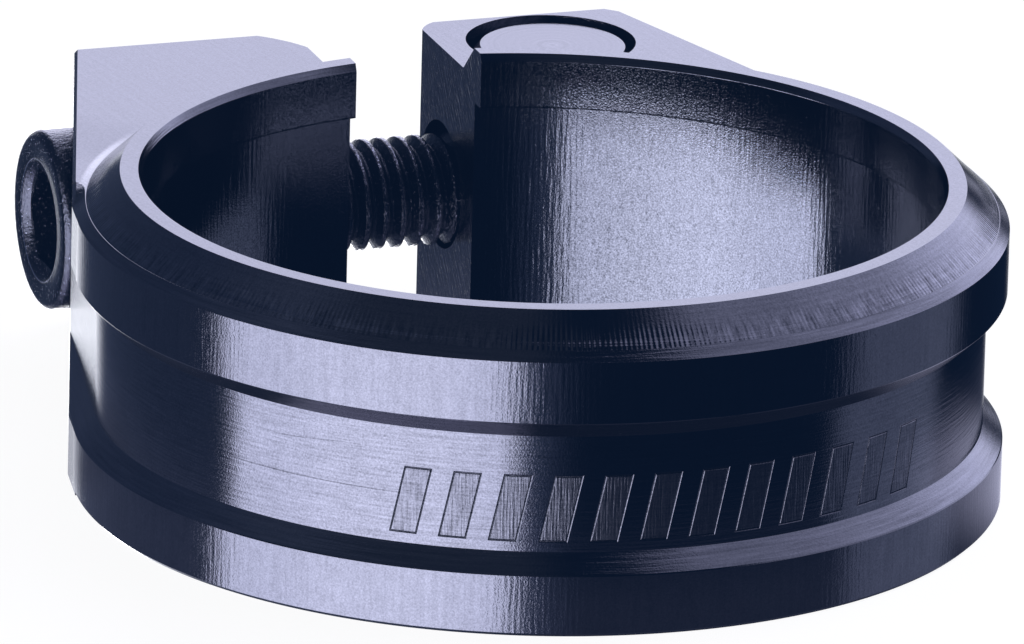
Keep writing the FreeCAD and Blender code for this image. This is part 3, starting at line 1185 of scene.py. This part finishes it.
def milled_material():
    """Upright flat faces and holes: a little darker, with fine slanted tool marks."""
    material, g, shader, point, (x, y, z) = metal("anodised_milled", ANODISED, roughness=0.14)
    slant = g.add(y, g.times(z, -0.8), g.times(x, 0.7))
    strokes = g.vector(slant, g.times(z, 0.2), g.times(x, 0.2))
    tint(
        g, shader, ANODISED,
        MILLED_DARKER,
        wave(g, strokes, scale=6.0, swing=0.14, detail=3.0),
        wave(g, point, scale=12.0, swing=0.1),
    )
    bump(
        g, shader,
        roughening(g, strokes, scale=6.0, slope=0.07),
        roughening(g, point, scale=12.0, slope=0.05),
    )
    return material


KINDS = (
    band_material,
    groove_material,
    wall_material,
    cone_material,
    bore_material,
    top_material,
    milled_material,
)
BAND, GROOVE, WALL, CONE, BORE, TOP, MILLED = range(len(KINDS))

# Shares of a unit normal that tell the faces of the body apart
LEVEL = 0.99
SQUARE_TO_RING = 0.98
SLANTED_FROM_RING = 0.05
SPLIT_SIDE = 0.6
BACKWARD = 0.9
CONE_INWARD = -0.5


def surface_kind(centre, normal):
    """Which machining made a face of the body, from where the face lies and where it looks."""
    r = math.hypot(centre.x, centre.y)
    radial = (normal.x * centre.x + normal.y * centre.y) / r
    tangential = abs(normal.x * centre.y - normal.y * centre.x) / r
    if normal.z > LEVEL:
        return TOP
    if tangential > SLANTED_FROM_RING:
        return MILLED if radial < SPLIT_SIDE or normal.y > BACKWARD else WALL
    if radial > SQUARE_TO_RING:
        return BAND if r > (OUTER_R + GROOVE_R) / 2 else GROOVE
    if radial < -SQUARE_TO_RING:
        return BORE
    if centre.z > SHOULDER_H and radial > CONE_INWARD:
        return CONE
    return WALL


# Wear on the bolt: the bright rim's half widths and depth, the radii where the crests turn bright, and the
# depths and radii at the edges of the smooth face
RIM_WEAR = (0.01, 0.035)
RIM_REACH = 0.1
CREST_WEAR = (THREAD_CREST_R - 0.008, THREAD_CREST_R - 0.001)
FACE_DEPTHS = (0.01, 0.1)
FACE_RADII = (SOCKET_RIM_R + 0.04, SOCKET_RIM_R + 0.09)
FACE_SMOOTHER = -0.85
SHANK_DARKER = -0.35


def bolt_material():
    """Speckled black coating, worn to bright steel on the thread's crests and the socket's rim."""
    material, g, shader, point, (x, y, z) = metal("black_steel_coat", STEEL, roughness=0.14)
    r = g.length(g.add(y, -BOLT_Y), g.add(z, -BOLT_Z))
    depth = g.add(x, -(HEAD_FACE_X + FACE_SET_BACK - HEAD_CLEARANCE))
    on_shank = g.math("GREATER_THAN", x, BEARING_X + NECK_L)
    crest = g.times(g.ramp(r, *CREST_WEAR), on_shank)
    rim = g.times(
        g.ramp(g.math("ABSOLUTE", g.add(r, -SOCKET_RIM_R)), *RIM_WEAR, 1.0, 0.0),
        g.math("LESS_THAN", depth, RIM_REACH),
    )
    patchy = g.ramp(g.noise(point, 8.0, 3.0, 0.7), 0.48, 0.6, 0.12, 1.0)
    specks = g.ramp(g.noise(point, 9.0, 3.0, 0.7), 0.63, 0.7, 0.0, 0.9)
    worn = g.add(g.times(crest, patchy), rim, specks)
    colour = g.sum(STEEL, g.scaled(Vector(WORN_STEEL) - Vector(STEEL), worn))
    shade = g.add(1.0, wave(g, point, scale=9.0, swing=0.12), g.times(on_shank, SHANK_DARKER))
    g.feed(shader.inputs["Base Color"], g.scaled(colour, shade))
    face = g.times(g.ramp(depth, *FACE_DEPTHS, 1.0, 0.0), g.ramp(r, *FACE_RADII))
    rough = g.add(
        wave(g, point, scale=4.0, swing=0.005, detail=3.0),
        wave(g, point, scale=11.0, swing=0.0025),
    )
    bump(
        g, shader,
        g.times(rough, g.add(1.0, g.times(face, FACE_SMOOTHER))),
        g.times(specks, 0.02),
    )
    return material


SWIRL_RADII = (0.1, 1.3)


def nut_material():
    """Faced ends: fine circles round the nut's axis that fade into a small swirl at its centre."""
    material, g, shader, point, (x, y, z) = metal("nut_anodised", ANODISED, roughness=0.13)
    r = g.length(g.add(x, -NUT_X), g.add(y, -BOLT_Y))
    circles = upright(g, r, z, share=0.2, seed=4.0)
    tint(
        g, shader, ANODISED,
        wave(g, circles, scale=5.0, swing=0.04),
        g.times(wave(g, circles, scale=3.0, swing=0.15), g.ramp(r, *SWIRL_RADII, 1.0, 0.0)),
        wave(g, point, scale=10.0, swing=0.04),
    )
    bump(
        g, shader,
        roughening(g, circles, scale=5.0, slope=0.01),
        roughening(g, point, scale=10.0, slope=0.01),
    )
    return material


def make_body():
    body = clamp_body()
    smooth_turned(body, [RING_AXIS, NUT_HOLE_AXIS, DRILL_AXIS])
    body.data.materials.clear()
    for build in KINDS:
        body.data.materials.append(build())
    for poly in body.data.polygons:
        poly.material_index = surface_kind(poly.center, poly.normal)
    finish_mesh(body)
    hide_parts("clamp_body")
    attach(body, "clamp")


def make_bolt():
    bolt = head()
    combine(bolt, thread(), "UNION")
    weld(bolt)
    bolt.data.transform(Matrix.Translation((-HEAD_CLEARANCE, 0, 0)))
    smooth_by_angle(bolt, BOLT_SMOOTH_ANGLE)
    finish_mesh(bolt)
    bolt.data.materials.clear()
    bolt.data.materials.append(bolt_material())
    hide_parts("clamp_bolt")
    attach(bolt, "bolt")


def make_nut():
    nut = barrel_nut()
    smooth_turned(nut, [NUT_AXIS, BOLT_AXIS])
    finish_mesh(nut)
    nut.data.materials.clear()
    nut.data.materials.append(nut_material())
    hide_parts("barrel_nut")
    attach(nut, "nut")


def set_tone():
    """Plain tone curve with blacks lifted to the photo's dark blue."""
    view = bpy.context.scene.view_settings
    view.view_transform = "Standard"
    view.use_curve_mapping = True
    for curve, lift in zip(view.curve_mapping.curves, BLACK_LIFT):
        curve.points[0].location = (0.0, lift)
    view.curve_mapping.update()


set_tone()
add_world()
add_floor()
add_glow()
make_body()
make_bolt()
make_nut()
